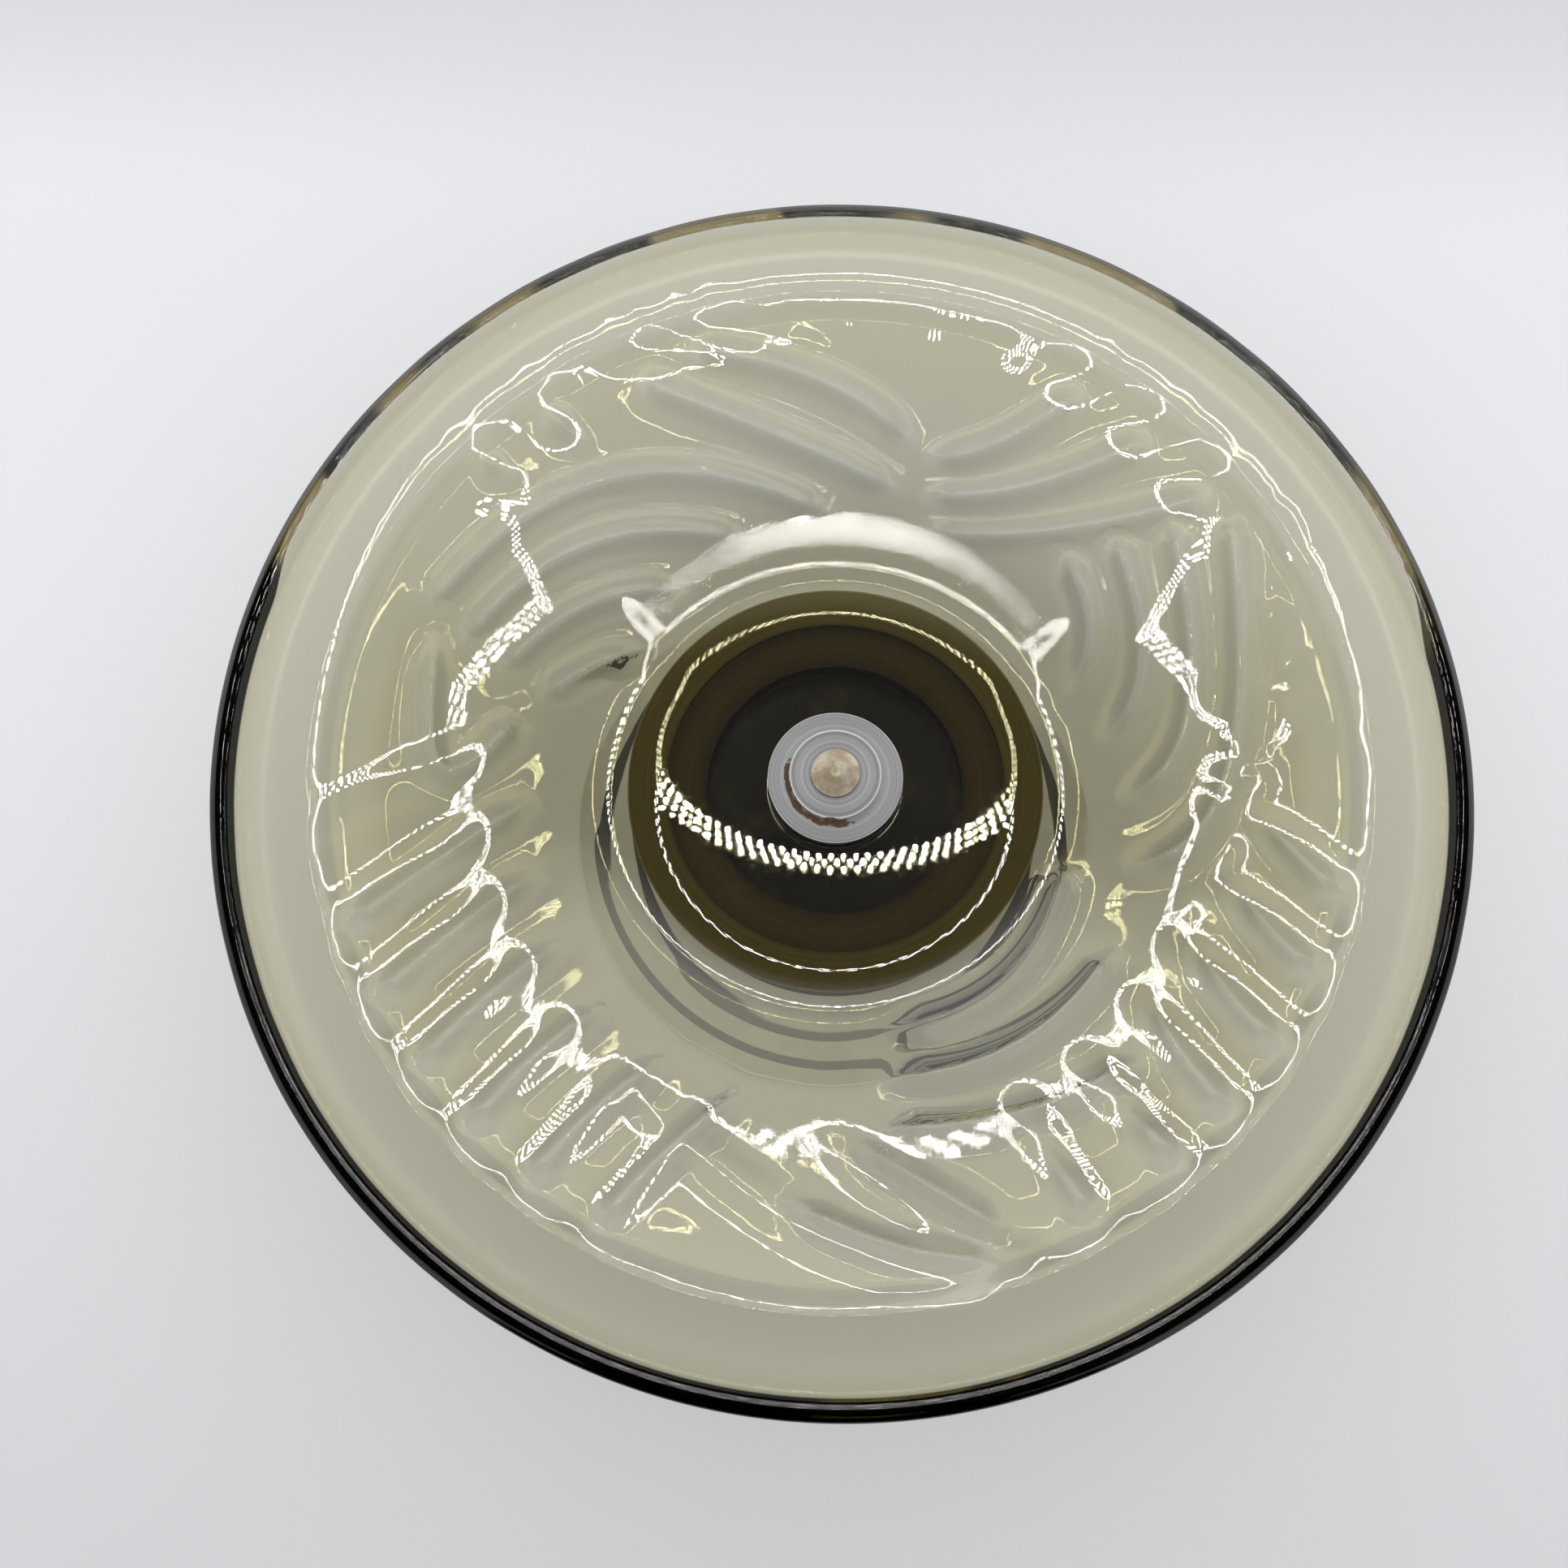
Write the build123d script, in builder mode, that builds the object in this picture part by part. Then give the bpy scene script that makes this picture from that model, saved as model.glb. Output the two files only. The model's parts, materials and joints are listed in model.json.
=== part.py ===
from build123d import *
import os
from math import cos, radians, sin, tan

os.makedirs("parts", exist_ok=True)

# A shallow pressed-glass centrepiece bowl on a turned metal pedestal. One threaded stud clamps the
# bowl between a steel washer inside it and the seat of the pedestal below it.
# Everything stands on Z = 0, with the stud on the Z axis.

# ---- driving dimensions, mm ----
# glass bowl
rim_radius = 165.0        # outside of the rim
floor_radius = 45.0       # flat floor inside the bowl
floor_thick = 6.0
inner_bend = 80.0         # bend from the floor into the wall, inside
outer_bend = 30.0         # the same bend on the underside
wall_slope = 19.5         # degrees above level
rim_slope = 8.0           # degrees above level, along the flange
flange_bend = 30.0        # radius on which the wall flattens into the flange
flange_width = 14.4       # straight part of the flange, from that bend to the rim
flange_thick = 5.5        # glass along the flange
crest_thick = 8.0         # glass under the crests of the leaves
leaf_reach = 138.0        # radius at which the leaf relief ends
step_slope = 12.0         # degrees, slope of the flange where the relief has run out
# the rim: a thick edge, rounded above and cut back below
rim_thick = 7.2           # glass at the lowest corner of the rim
rim_round = 3.6           # rounding of the upper edge
rim_fall = 45.0           # degrees below level, where that rounding ends
rim_nose = 1.2            # rounding of the outermost edge
rim_bevel = 46.0          # degrees, slope of the cut below the outermost edge
rim_rise = 9.0            # width over which the flange thickens to the rim
glass_bore = 9.0          # radius of the hole for the stud
# leaf relief on the underside
vein_depth = 3.0          # depth of the valleys between two ribs
vein_width = 11.5         # width of a valley where it opens
vein_fullness = 0.38      # share of the depth left half way up a rib: below 0.5 the rib is full

# clamp
stud_radius = 6.8
stud_above_nut = 2.2      # how far the domed end stands out of the collar nut
stud_dome = 1.4           # rise of the domed end
dimple_radius = 1.6
dimple_depth = 0.8
stud_below_nut = 3.0      # how far the stud stands out of the bottom nut
thread_clear = 0.1        # between the stud and each piece that slides over it
collar_radius = 13.0
collar_height = 3.6
collar_edge = 0.8         # rounded edge of the collar nut
washer_radius = 19.0
washer_thick = 2.4
washer_edge = 0.5
gasket_thick = 1.2        # fibre gasket under the clamp washer
gasket_inset = 1.2        # the gasket is this much smaller than the washer
sleeve_clear = 0.2        # between the sleeve and the bore of the glass

# pedestal
seat_radius = 59.6        # outside of the seat
seat_ring = 11.4          # width of the flat ring that carries the glass
seat_step = 3.0           # drop from the ring to the ledge inside it
ledge_width = 11.6        # width of the ledge
ledge_fall = 0.8          # how much the ledge falls towards its inner edge
well_depth = 6.0          # from the inner edge of the ledge down to the floor of the well
well_floor = 3.0          # metal under the well
seat_edge = 1.0           # rounded outer edge of the ring
seat_side = 4.0           # upright side of the seat
boss_radius = 16.5        # boss in the middle of the well, under the lower gasket
column_waist = 12.5
column_end = 20.0         # radius of the flared ends of the column
column_band = 2.0         # height of the plain band at each end
column_height = 26.0
bead_radius = 2.6         # bead turned round the waist
base_radius = 81.0        # outside of the base
base_height = 15.0        # top of the hub above the lower edge
base_lip = 5.5            # height of the upright edge of the base
base_wall = 2.0           # sheet of the spun base
base_flange = 8.0         # width of the turned-in lower edge
base_hub = 24.0           # radius of the flat hub that carries the column
base_sag = 3.0            # how far the flare of the base sags below a straight cone
felt_thick = 2.0
felt_inset = 1.5          # the felt is this much smaller than the base
spreader_radius = 16.0    # spreader washer inside the base
spreader_thick = 2.5
lock_radius = 11.0
lock_thick = 2.2
lock_gap = 2.5            # gap of the spring lock washer
nut_across = 20.0         # across the flats of the bottom nut
nut_height = 4.5
nut_chamfer = 1.0

# ---- heights, worked out from the sizes above ----
base_bottom = felt_thick
hub_top = base_bottom + base_height
seat_bottom = hub_top + column_height
well_bottom = seat_bottom + well_floor
ledge_inner = well_bottom + well_depth
ledge_outer = ledge_inner + ledge_fall
glass_bottom = ledge_outer + seat_step
floor_top = glass_bottom + floor_thick
washer_bottom = floor_top + gasket_thick
collar_bottom = washer_bottom + washer_thick
stud_top = collar_bottom + collar_height + stud_above_nut
hub_under = hub_top - base_wall
spreader_bottom = hub_under - spreader_thick
lock_bottom = spreader_bottom - lock_thick
nut_bottom = lock_bottom - nut_height
slide_radius = stud_radius + thread_clear

# ---- profile of the glass ----
slope = radians(wall_slope)
bend_end = floor_radius + inner_bend * sin(slope)
bend_rise = floor_top + inner_bend * (1 - cos(slope))
rim_out = (
    rim_round * (sin(radians(rim_fall)) + sin(radians(rim_slope)))
    + rim_nose * (1 - sin(radians(rim_fall)))
)
flange_end = rim_radius - rim_out
flange_bent = flange_end - flange_width * cos(radians(rim_slope))
flange_start = flange_bent - flange_bend * (sin(slope) - sin(radians(rim_slope)))
flange_start_rise = bend_rise + (flange_start - bend_end) * tan(slope)


def flange_point(slope_here, depth=0.0):
    """Point of the flange where it slopes this many degrees, this deep under its upper face."""
    here = radians(slope_here)
    radius = flange_start + flange_bend * (sin(slope) - sin(here))
    rise = flange_start_rise + flange_bend * (cos(here) - cos(slope))
    return radius + depth * sin(here), rise - depth * cos(here)


def crest_rise(radius):
    """Height of the crests of the leaves, on the underside of the wall."""
    crest_radius = bend_end + crest_thick * sin(slope)
    crest_height = bend_rise - crest_thick * cos(slope)
    foot = crest_radius - (crest_height - glass_bottom) / tan(slope)
    half = outer_bend * tan(slope / 2)
    if radius <= foot - half:
        return glass_bottom
    if radius < foot + half * cos(slope):
        across = (radius - foot + half) / outer_bend
        return glass_bottom + outer_bend * (1 - (1 - across**2) ** 0.5)
    return crest_height + (radius - crest_radius) * tan(slope)


under_bend_start = (
    bend_end + crest_thick * sin(slope)
    - (bend_rise - crest_thick * cos(slope) - glass_bottom) / tan(slope)
    - outer_bend * tan(slope / 2)
)

# ---- the leaves ----
# A vein is a valley between two ribs, given by its start, middle and end as (degrees, radius).
# A fan is a first and a last vein with the others spaced evenly between them.
fans = [
    # leaf at the back: two sides that meet in a V
    (((79, 101), (69, 107), (60, 133)), ((76, 80), (52, 97), (39, 133)), 3),
    (((79, 101), (94, 117), (112, 133)), ((79, 88), (99, 101), (120, 130)), 2),
    (((129, 113), (131, 124), (131, 137)), ((139, 117), (141, 127), (142, 138)), 2),
    # long ribs that sweep from the seat out to the leaf on the left
    (((92, 80), (129, 109), (162, 124)), ((146, 68), (157, 78), (169, 88)), 4),
    (((164, 119), (183, 110), (172, 92)), ((164, 119), (183, 110), (172, 92)), 1),
    (((187, 85), (197, 112), (203, 138)), ((257, 91), (249, 118), (247, 137)), 6),
    # leaf at the front
    (((266, 115), (278, 126), (290, 136)), ((275, 100), (284, 113), (292, 130)), 2),
    (((300, 113), (301, 125), (301, 137)), ((311, 115), (312, 126), (312, 138)), 2),
    (((279, 98), (300, 105), (318, 112)), ((284, 72), (312, 74), (342, 69)), 3),
    # leaf on the right
    (((357, 116), (350, 128), (347, 139)), ((327, 104), (322, 118), (320, 138)), 4),
    (((345, 84), (362, 108), (396, 133)), ((384, 72), (394, 86), (408, 94)), 4),
]


def veins(first, last, count):
    """The veins of one fan."""
    for step in range(count):
        share = step / max(count - 1, 1)
        yield [
            (a + share * (b - a), p + share * (q - p))
            for (a, p), (b, q) in zip(first, last)
        ]


def on_crest(angle, radius):
    """Point on the crests, at this angle in degrees and radius."""
    turn = radians(angle)
    return Vector(radius * cos(turn), radius * sin(turn), crest_rise(radius))


def crest_normal(angle):
    """Direction out of the underside of the wall at this angle."""
    turn = radians(angle)
    return Vector(sin(slope) * cos(turn), sin(slope) * sin(turn), -cos(slope))


with BuildPart() as glass_bowl:
    with BuildSketch(Plane.XZ):
        with BuildLine():
            Line((glass_bore, glass_bottom), (glass_bore, floor_top))
            Line((glass_bore, floor_top), (floor_radius, floor_top))
            bend = JernArc((floor_radius, floor_top), (1, 0), inner_bend, wall_slope)
            wall = Line(bend @ 1, (flange_start, flange_start_rise))
            bent = JernArc(wall @ 1, wall % 1, flange_bend, rim_slope - wall_slope)
            outward = bent % 1
            flange_edge = bent @ 1 + outward * flange_width
            Line(bent @ 1, flange_edge)
            rim_top = JernArc(flange_edge, outward, rim_round, -(rim_slope + rim_fall))
            nose = JernArc(rim_top @ 1, rim_top % 1, rim_nose, -(180 - rim_fall - rim_bevel))
            cut_height = (nose @ 1).Y - (flange_edge.Y - rim_thick)
            low_corner = nose @ 1 + (nose % 1) * (cut_height / sin(radians(rim_bevel)))
            Line(nose @ 1, low_corner)
            under_bent = Vector(*flange_point(rim_slope, flange_thick))
            under_run = low_corner.X - under_bent.X - rim_rise
            under_edge = under_bent + outward * under_run
            Spline(low_corner, under_edge, tangents=[outward * -1, outward * -1])
            Line(under_edge, under_bent)
            under_middle = (rim_slope + step_slope) / 2
            ThreePointArc(
                under_bent,
                flange_point(under_middle, flange_thick),
                flange_point(step_slope, flange_thick),
            )
            Spline(
                flange_point(step_slope, flange_thick),
                (leaf_reach, crest_rise(leaf_reach)),
                tangents=[
                    (-cos(radians(step_slope)), -sin(radians(step_slope))),
                    (-cos(slope), -sin(slope)),
                ],
            )
            under = JernArc((under_bend_start, glass_bottom), (1, 0), outer_bend, wall_slope)
            Line(under @ 1, (leaf_reach, crest_rise(leaf_reach)))
            Line((glass_bore, glass_bottom), (under_bend_start, glass_bottom))
        make_face()
    revolve(axis=Axis.Z)
    cutters = []
    for fan in fans:
        for vein in veins(*fan):
            with BuildLine(mode=Mode.PRIVATE) as path:
                ThreePointArc(*[on_crest(*point) for point in vein])
            along = path.line % 0
            section = Plane(path.line @ 0, x_dir=crest_normal(vein[0][0]).cross(along), z_dir=along)
            with BuildSketch(section, mode=Mode.PRIVATE) as valley:
                with BuildLine():
                    half = vein_width / 2
                    ThreePointArc(
                        (-half, 0),
                        (-half / 2, -vein_fullness * vein_depth),
                        (0, -vein_depth),
                    )
                    ThreePointArc(
                        (0, -vein_depth),
                        (half / 2, -vein_fullness * vein_depth),
                        (half, 0),
                    )
                    Polyline((half, 0), (half, vein_depth), (-half, vein_depth), (-half, 0))
                make_face()
            cutters.append(sweep(valley.sketch, path=path.line, mode=Mode.PRIVATE))
    add(cutters, mode=Mode.SUBTRACT)

glass_bowl.part.label = "glass_bowl"
export_step(glass_bowl.part, "parts/glass_bowl.step")

# ---- clamp inside the bowl ----
with BuildPart() as bore_sleeve:
    with BuildSketch(Plane.XY.offset(glass_bottom)):
        Circle(glass_bore - sleeve_clear)
        Circle(slide_radius, mode=Mode.SUBTRACT)
    extrude(amount=floor_thick)

bore_sleeve.part.label = "bore_sleeve"
export_step(bore_sleeve.part, "parts/bore_sleeve.step")

with BuildPart() as upper_gasket:
    with BuildSketch(Plane.XY.offset(floor_top)):
        Circle(washer_radius - gasket_inset)
        Circle(slide_radius, mode=Mode.SUBTRACT)
    extrude(amount=gasket_thick)

upper_gasket.part.label = "upper_gasket"
export_step(upper_gasket.part, "parts/upper_gasket.step")

with BuildPart() as clamp_washer:
    with BuildSketch(Plane.XY.offset(washer_bottom)):
        Circle(washer_radius)
        Circle(slide_radius, mode=Mode.SUBTRACT)
    extrude(amount=washer_thick)
    fillet(clamp_washer.edges().group_by(Axis.Z)[-1].sort_by(SortBy.RADIUS)[-1], washer_edge)

clamp_washer.part.label = "clamp_washer"
export_step(clamp_washer.part, "parts/clamp_washer.step")

with BuildPart() as collar_nut:
    with BuildSketch(Plane.XY.offset(collar_bottom)):
        Circle(collar_radius)
        Circle(slide_radius, mode=Mode.SUBTRACT)
    extrude(amount=collar_height)
    fillet(collar_nut.edges().group_by(Axis.Z)[-1].sort_by(SortBy.RADIUS)[-1], collar_edge)

collar_nut.part.label = "collar_nut"
export_step(collar_nut.part, "parts/collar_nut.step")

with BuildPart() as centre_stud:
    stud_bottom = nut_bottom - stud_below_nut
    shoulder = stud_top - stud_dome
    with BuildSketch(Plane.XZ):
        with BuildLine():
            Polyline(
                (0, shoulder), (0, stud_bottom), (stud_radius, stud_bottom),
                (stud_radius, shoulder),
            )
            dome = (stud_radius**2 + stud_dome**2) / (2 * stud_dome)
            RadiusArc((stud_radius, shoulder), (0, stud_top), -dome)
            Line((0, stud_top), (0, shoulder))
        make_face()
    revolve(axis=Axis.Z)
    with Locations((0, 0, stud_top - dimple_depth)):
        Cone(
            bottom_radius=0,
            top_radius=2 * dimple_radius,
            height=2 * dimple_depth,
            align=(Align.CENTER, Align.CENTER, Align.MIN),
            mode=Mode.SUBTRACT,
        )

centre_stud.part.label = "centre_stud"
export_step(centre_stud.part, "parts/centre_stud.step")

# ---- pedestal ----
with BuildPart() as lower_gasket:
    with BuildSketch(Plane.XY.offset(glass_bottom - gasket_thick)):
        Circle(boss_radius)
        Circle(slide_radius, mode=Mode.SUBTRACT)
    extrude(amount=gasket_thick)

lower_gasket.part.label = "lower_gasket"
export_step(lower_gasket.part, "parts/lower_gasket.step")

with BuildPart() as seat:
    ring_inner = seat_radius - seat_ring
    well_radius = ring_inner - ledge_width
    boss_top = glass_bottom - gasket_thick
    side_bottom = glass_bottom - seat_side
    with BuildSketch(Plane.XZ):
        with BuildLine():
            Polyline(
                (slide_radius, seat_bottom),
                (slide_radius, boss_top),
                (boss_radius, boss_top),
                (boss_radius, well_bottom),
                (well_radius, well_bottom),
                (well_radius, ledge_inner),
                (ring_inner, ledge_outer),
                (ring_inner, glass_bottom),
                (seat_radius, glass_bottom),
                (seat_radius, side_bottom),
            )
            TangentArc((column_end, seat_bottom), (seat_radius, side_bottom), tangent=(1, 0))
            Line((column_end, seat_bottom), (slide_radius, seat_bottom))
        make_face()
    revolve(axis=Axis.Z)
    fillet(seat.edges().group_by(Axis.Z)[-1].sort_by(SortBy.RADIUS)[-1], seat_edge)

seat.part.label = "seat"
export_step(seat.part, "parts/seat.step")

with BuildPart() as column:
    with BuildSketch(Plane.XZ):
        band_low = hub_top + column_band
        band_high = seat_bottom - column_band
        middle = (hub_top + seat_bottom) / 2
        with BuildLine():
            Polyline(
                (column_end, band_high), (column_end, seat_bottom),
                (slide_radius, seat_bottom), (slide_radius, hub_top),
                (column_end, hub_top), (column_end, band_low),
            )
            ThreePointArc((column_end, band_low), (column_waist, middle), (column_end, band_high))
        make_face()
        with Locations((column_waist, middle)):
            Circle(bead_radius)
    revolve(axis=Axis.Z)

column.part.label = "column"
export_step(column.part, "parts/column.step")

with BuildPart() as base_shell:
    lip_top_z = base_bottom + base_lip
    flare_radius = (base_hub + base_radius) / 2
    flare_rise = (hub_top + lip_top_z) / 2 - base_sag
    with BuildSketch(Plane.XZ):
        with BuildLine():
            Line((slide_radius, hub_top), (base_hub, hub_top))
            ThreePointArc((base_hub, hub_top), (flare_radius, flare_rise), (base_radius, lip_top_z))
            Polyline(
                (base_radius, lip_top_z),
                (base_radius, base_bottom),
                (base_radius - base_flange, base_bottom),
                (base_radius - base_flange, base_bottom + base_wall),
                (base_radius - base_wall, base_bottom + base_wall),
                (base_radius - base_wall, lip_top_z - base_wall),
            )
            ThreePointArc(
                (base_radius - base_wall, lip_top_z - base_wall),
                (flare_radius - base_wall, flare_rise - base_wall),
                (base_hub - base_wall, hub_under),
            )
            Polyline((base_hub - base_wall, hub_under), (slide_radius, hub_under), (slide_radius, hub_top))
        make_face()
    revolve(axis=Axis.Z)

base_shell.part.label = "base_shell"
export_step(base_shell.part, "parts/base_shell.step")

with BuildPart() as spreader_washer:
    with BuildSketch(Plane.XY.offset(spreader_bottom)):
        Circle(spreader_radius)
        Circle(slide_radius, mode=Mode.SUBTRACT)
    extrude(amount=spreader_thick)

spreader_washer.part.label = "spreader_washer"
export_step(spreader_washer.part, "parts/spreader_washer.step")

with BuildPart() as lock_washer:
    with BuildSketch(Plane.XY.offset(lock_bottom)):
        Circle(lock_radius)
        Circle(slide_radius, mode=Mode.SUBTRACT)
        with Locations((lock_radius, 0)):
            Rectangle(2 * lock_radius, lock_gap, mode=Mode.SUBTRACT)
    extrude(amount=lock_thick)

lock_washer.part.label = "lock_washer"
export_step(lock_washer.part, "parts/lock_washer.step")

with BuildPart() as base_nut:
    with BuildSketch(Plane.XY.offset(nut_bottom)):
        RegularPolygon(nut_across / 2, 6, major_radius=False)
    extrude(amount=nut_height)
    with BuildSketch(Plane.XZ):
        corner = nut_across / 2 / cos(radians(30))
        with BuildLine():
            Polyline(
                (slide_radius, nut_bottom),
                (nut_across / 2, nut_bottom),
                (corner, nut_bottom + nut_chamfer),
                (corner, lock_bottom - nut_chamfer),
                (nut_across / 2, lock_bottom),
                (slide_radius, lock_bottom),
                close=True,
            )
        make_face()
    revolve(axis=Axis.Z, mode=Mode.INTERSECT)

base_nut.part.label = "base_nut"
export_step(base_nut.part, "parts/base_nut.step")

with BuildPart() as felt_pad:
    with BuildSketch():
        Circle(base_radius - felt_inset)
    extrude(amount=felt_thick)

felt_pad.part.label = "felt_pad"
export_step(felt_pad.part, "parts/felt_pad.step")
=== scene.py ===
import json
import math
import bpy
from mathutils import Matrix, Vector


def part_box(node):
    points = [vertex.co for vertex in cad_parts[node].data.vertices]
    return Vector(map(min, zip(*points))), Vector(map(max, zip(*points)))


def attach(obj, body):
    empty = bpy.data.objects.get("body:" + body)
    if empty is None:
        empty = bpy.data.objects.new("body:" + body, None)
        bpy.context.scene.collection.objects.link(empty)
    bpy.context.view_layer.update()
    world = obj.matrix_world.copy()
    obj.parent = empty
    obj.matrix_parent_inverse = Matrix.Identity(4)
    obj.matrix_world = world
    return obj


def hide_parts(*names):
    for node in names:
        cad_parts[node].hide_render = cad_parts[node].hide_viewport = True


# A footed table bowl of smoked pressed glass. The glass with its leaf relief is made here, and the
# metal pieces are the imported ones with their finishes. Lengths are metres where no note says mm.

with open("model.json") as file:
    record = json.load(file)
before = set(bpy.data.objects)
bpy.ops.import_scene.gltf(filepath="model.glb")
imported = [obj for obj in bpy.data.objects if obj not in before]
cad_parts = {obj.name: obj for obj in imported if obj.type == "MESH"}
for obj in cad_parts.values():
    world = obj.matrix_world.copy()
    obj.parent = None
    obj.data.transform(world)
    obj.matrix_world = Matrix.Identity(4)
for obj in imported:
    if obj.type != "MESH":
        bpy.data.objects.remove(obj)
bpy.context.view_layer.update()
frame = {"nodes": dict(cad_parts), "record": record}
mm = 0.001
print("frame loaded with", len(frame["nodes"]), "nodes")


class Wire:                                    # one output socket that maths can be done on
    def __init__(self, graph, socket):
        self.graph = graph
        self.socket = socket

    def maths(self, operation, first, second=0.0):
        return self.graph.add("ShaderNodeMath", {"operation": operation}, {0: first, 1: second})

    def __add__(self, other):
        return self.maths("ADD", self, other)

    def __radd__(self, other):
        return self.maths("ADD", other, self)

    def __sub__(self, other):
        return self.maths("SUBTRACT", self, other)

    def __rsub__(self, other):
        return self.maths("SUBTRACT", other, self)

    def __mul__(self, other):
        return self.maths("MULTIPLY", self, other)

    def __rmul__(self, other):
        return self.maths("MULTIPLY", other, self)

    def __truediv__(self, other):
        return self.maths("DIVIDE", self, other)

    def __rtruediv__(self, other):
        return self.maths("DIVIDE", other, self)

    def __mod__(self, other):
        return self.maths("FLOORED_MODULO", self, other)

    def __lt__(self, other):
        return self.maths("LESS_THAN", self, other)

    def floor(self):
        return self.maths("FLOOR", self)

    def absolute(self):
        return self.maths("ABSOLUTE", self)

    def cos(self):
        return self.maths("COSINE", self)

    def sin(self):
        return self.maths("SINE", self)

    def root(self):
        return self.maths("SQRT", self)

    def most(self, other):
        return self.maths("MAXIMUM", self, other)

    def least(self, other):
        return self.maths("MINIMUM", self, other)

    def ease(self, start, end):                # 0 at start, 1 at end, smooth between them
        return self.graph.add("ShaderNodeMapRange", {"interpolation_type": "SMOOTHSTEP"},
                              {"Value": self, "From Min": start, "From Max": end})

    def between(self, rise, fall):             # up over the first pair of values, down over the second
        return self.ease(*rise) * (1 - self.ease(*fall))


class Graph:                                   # the nodes of one material, world or modifier
    def __init__(self, tree):
        self.tree = tree

    def add(self, kind, settings=None, values=None, out=0):
        made = self.tree.nodes.new(kind)
        for key, value in (settings or {}).items():
            if key == "stops":
                self.setStops(made.color_ramp, value)
            else:
                setattr(made, key, value)
        for key, value in (values or {}).items():
            if isinstance(value, Wire):
                self.tree.links.new(value.socket, made.inputs[key])
            else:
                made.inputs[key].default_value = value
        return Wire(self, made.outputs[out]) if made.outputs else made

    def setStops(self, ramp, stops):
        while len(ramp.elements) < len(stops):
            ramp.elements.new(0.5)
        for element, (place, colour) in zip(ramp.elements, stops):
            element.position = place
            element.color = (*colour, 1)

    def place(self):
        return self.add("ShaderNodeTexCoord", out="Object")

    def axes(self, vector):
        split = self.add("ShaderNodeSeparateXYZ", values={0: vector})
        return [Wire(self, socket) for socket in split.socket.node.outputs]

    def round(self, spot):                     # x, y and z in metres, and the distance from the axis in mm
        x, y, z = self.axes(spot)
        return x, y, z, (x * x + y * y).root() / mm

    def noise(self, vector, scale, detail=3.0, rough=0.55):
        return self.add("ShaderNodeTexNoise", values={
            "Vector": vector, "Scale": scale, "Detail": detail, "Roughness": rough})

    def marks(self, across, along=0.0, detail=3.0):   # tool marks that run round the axis
        spot = self.add("ShaderNodeCombineXYZ", values={0: across, 1: along})
        return self.noise(spot, 1.0, detail)

    def blend(self, factor, first, second):    # between two colours
        first, second = (colour if isinstance(colour, Wire) else (*colour, 1) for colour in (first, second))
        return self.add("ShaderNodeMix", {"data_type": "RGBA"},
                        {0: factor, 6: first, 7: second}, out=2)

    def ramp(self, value, stops):
        return self.add("ShaderNodeValToRGB", {"stops": stops}, {"Fac": value})

    def bump(self, height, distance):
        return self.add("ShaderNodeBump", values={"Height": height, "Distance": distance, "Strength": 1.0})


def newMaterial(name):
    material = bpy.data.materials.new(name)
    material.use_nodes = True
    material.node_tree.nodes.clear()
    return material, Graph(material.node_tree)


def surface(graph, **values):                  # ends a material in a Principled shader
    names = {"baseColor": "Base Color", "metallic": "Metallic", "roughness": "Roughness",
             "normal": "Normal", "anisotropic": "Anisotropic", "sheen": "Sheen Weight",
             "specular": "Specular IOR Level"}
    shader = graph.add("ShaderNodeBsdfPrincipled", values={names[key]: values[key] for key in values})
    graph.add("ShaderNodeOutputMaterial", values={"Surface": shader})


glassLook = {
    "absorbPerMetre": (36, 40, 80),            # smoke: red and green about alike, blue held back
    "mostTint": 0.9,                           # how deep the smoke's colour may be
    "ior": 1.52, "coat": 0.5,
    "ripple": 0.008 * mm, "rippleScale": 90,   # fire-polished skin of pressed glass
    "scuff": 0.0004 * mm, "scuffScale": 1900,  # fine wear that makes highlights sparkle
    "wear": 0.0045 * mm,                       # more of it at the back, where things are lifted out
    "wearRise": (61, 65), "wearFall": (84, 90), "wearFray": 14,   # over these radii, mm
    "wearBack": (0.42, 0.58),                  # and towards the back
    "rubbed": 0.001 * mm, "rubbedRise": (84, 90), "rubbedFall": (104, 110),   # a little round the wall
    "flankPaintedShade": (0.42, 0.41, 0.34), "flankPaintedShadeShare": 0.42,   # painted shade on the flanks of the valleys
    "rimInner": 159.9, "rimBackStep": 2.4,     # mm, painted dark from here out, and at the back a step later
    "rimPaintedShade": (0.004, 0.004, 0.004), "rimBackShadeOlive": (0.16, 0.12, 0.035),
}


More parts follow.
